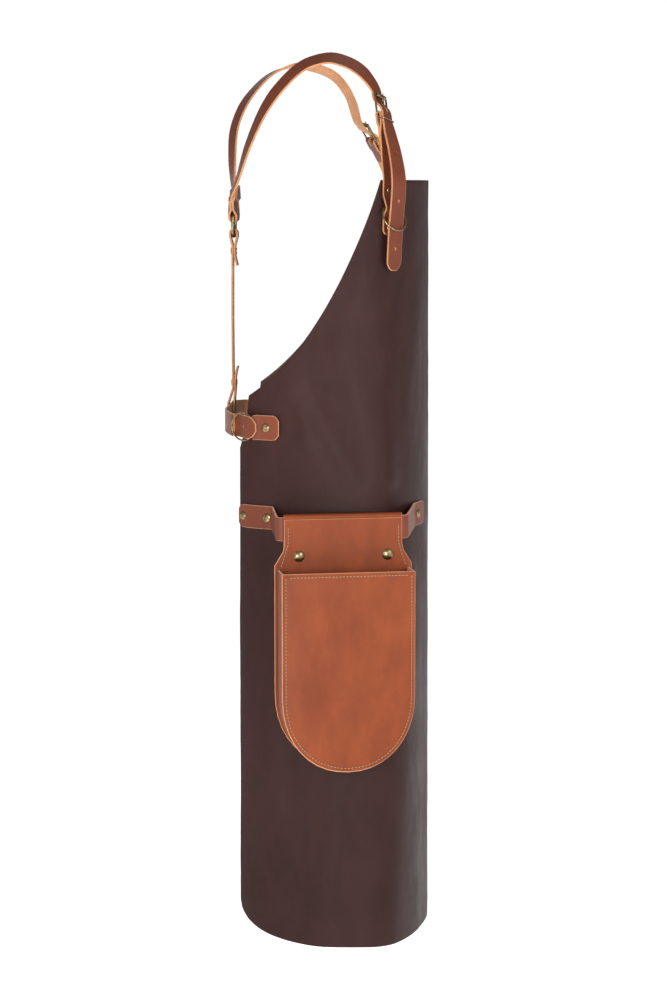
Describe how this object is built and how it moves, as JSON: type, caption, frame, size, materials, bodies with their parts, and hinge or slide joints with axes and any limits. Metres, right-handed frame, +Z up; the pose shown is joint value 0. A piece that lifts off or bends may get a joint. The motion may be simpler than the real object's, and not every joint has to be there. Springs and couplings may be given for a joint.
{
  "type": "leather apron",
  "caption": "Leather bib apron with riveted shoulder straps, roller buckles, back strap, waist belt and a clip-on tool holster at the hip, shaped as worn.",
  "frame": {"origin": "between the shoulder straps at the height of their underside, where the wearer's shoulders carry the apron", "axes": "+Z up, -Y the way the wearer faces (bib), -X the wearer's right, where the holster hangs"},
  "size_m": [0.3651, 0.2418, 1.0238],
  "materials": {
    "apron_leather": "semi-matt dark brown grain leather",
    "strap_leather": "satin cognac leather with pale raw edges and flesh side",
    "holster_leather": "satin tan leather with pale stitching",
    "antique_brass": "antique brass, worn bright on the edges"
  },
  "bodies": {
    "apron": {"apron_body": "apron_leather", "waist_tab_right": "strap_leather", "waist_tab_left": "strap_leather", "waist_belt": "strap_leather", "back_strap": "strap_leather", "buckle_strap_right": "strap_leather", "buckle_strap_left": "strap_leather", "shoulder_strap_right": "strap_leather", "shoulder_strap_left": "strap_leather", "hanger_strap": "strap_leather", "waist_tab_rivet_right": "antique_brass", "waist_tab_rivet_left": "antique_brass", "back_strap_rivet_lower": "antique_brass", "back_strap_rivet_upper": "antique_brass", "buckle_strap_rivet_upper_right": "antique_brass", "buckle_strap_rivet_lower_right": "antique_brass", "buckle_strap_rivet_upper_left": "antique_brass", "buckle_strap_rivet_lower_left": "antique_brass", "shoulder_strap_rivet_right": "antique_brass", "shoulder_strap_rivet_left": "antique_brass", "hanger_rivet_1": "antique_brass", "hanger_rivet_2": "antique_brass", "hanger_rivet_3": "antique_brass"},
    "waist_ring_right": {"waist_ring_right": "antique_brass"},
    "waist_ring_left": {"waist_ring_left": "antique_brass"},
    "back_ring": {"back_ring": "antique_brass"},
    "holster": {"holster_back_panel": "holster_leather", "holster_gusset": "holster_leather", "holster_front_panel": "holster_leather", "snap_cap_1": "antique_brass", "snap_cap_2": "antique_brass"},
    "belt_flap": {"holster_belt_flap": "holster_leather", "snap_stud_1": "antique_brass", "snap_stud_2": "antique_brass"},
    "bib_ring_right": {"bib_ring_right": "antique_brass"},
    "buckle_frame_right": {"buckle_frame_right": "antique_brass"},
    "buckle_roller_right": {"buckle_roller_right": "antique_brass"},
    "buckle_prong_right": {"buckle_prong_right": "antique_brass"},
    "buckle_keeper_right": {"buckle_keeper_right": "antique_brass"},
    "bib_ring_left": {"bib_ring_left": "antique_brass"},
    "buckle_frame_left": {"buckle_frame_left": "antique_brass"},
    "buckle_roller_left": {"buckle_roller_left": "antique_brass"},
    "buckle_prong_left": {"buckle_prong_left": "antique_brass"},
    "buckle_keeper_left": {"buckle_keeper_left": "antique_brass"}
  },
  "joints": [
    {"name": "waist_ring_right_turn", "type": "hinge", "parent": "apron", "child": "waist_ring_right", "pos_m": [-0.10886, 0.09966, -0.4165], "axis": [-0.829, 0.5592, 0], "continuous": true},
    {"name": "waist_ring_left_turn", "type": "hinge", "parent": "apron", "child": "waist_ring_left", "pos_m": [0.10886, 0.09966, -0.4165], "axis": [0.829, 0.5592, 0], "continuous": true},
    {"name": "back_ring_turn", "type": "hinge", "parent": "apron", "child": "back_ring", "pos_m": [0, 0.1168, -0.184], "axis": [0, 1, 0], "continuous": true},
    {"name": "bib_ring_right_swing", "type": "hinge", "parent": "apron", "child": "bib_ring_right", "pos_m": [-0.13245, -0.06816, -0.165], "axis": [-0.6561, 0.7547, 0], "range_deg": [-2, 12]},
    {"name": "buckle_right_swing", "type": "hinge", "parent": "apron", "child": "buckle_frame_right", "pos_m": [-0.1085, -0.059, -0.0657], "axis": [0.8451, -0.4879, -0.2185], "range_deg": [0, 5]},
    {"name": "roller_right_turn", "type": "hinge", "parent": "buckle_frame_right", "child": "buckle_roller_right", "pos_m": [-0.10118, -0.05625, -0.04354], "axis": [0.8451, -0.4879, -0.2185], "continuous": true},
    {"name": "prong_right_lift", "type": "hinge", "parent": "buckle_frame_right", "child": "buckle_prong_right", "pos_m": [-0.1085, -0.059, -0.0657], "axis": [0.8451, -0.4879, -0.2185], "range_deg": [0, 3]},
    {"name": "keeper_right_slide", "type": "slide", "parent": "apron", "child": "buckle_keeper_right", "axis": [0.3114, 0.117, 0.9431], "range_m": [-0.002, 0.0012]},
    {"name": "bib_ring_left_swing", "type": "hinge", "parent": "apron", "child": "bib_ring_left", "pos_m": [0.13245, -0.06816, -0.165], "axis": [-0.6561, -0.7547, 0], "range_deg": [-2, 12]},
    {"name": "buckle_left_swing", "type": "hinge", "parent": "apron", "child": "buckle_frame_left", "pos_m": [0.11, -0.043, -0.0894], "axis": [0.8576, 0.4952, 0.1388], "range_deg": [0, 5]},
    {"name": "roller_left_turn", "type": "hinge", "parent": "buckle_frame_left", "child": "buckle_roller_left", "pos_m": [0.10107, -0.03294, -0.07013], "axis": [0.8576, 0.4952, 0.1388], "continuous": true},
    {"name": "prong_left_lift", "type": "hinge", "parent": "buckle_frame_left", "child": "buckle_prong_left", "pos_m": [0.11, -0.043, -0.0894], "axis": [0.8576, 0.4952, 0.1388], "range_deg": [0, 3]},
    {"name": "keeper_left_slide", "type": "slide", "parent": "apron", "child": "buckle_keeper_left", "axis": [-0.3798, 0.428, 0.8201], "range_m": [-0.002, 0.0012]},
    {"name": "holster_slide", "type": "slide", "parent": "apron", "child": "holster", "axis": [-0.2079, 0.9781, 0], "range_m": [-0.002, 0.003]},
    {"name": "belt_flap_fold", "type": "hinge", "parent": "holster", "child": "belt_flap", "pos_m": [-0.15984, -0.0163, -0.5136], "axis": [0.2079, -0.9781, 0], "range_deg": [0, 3]}
  ]
}
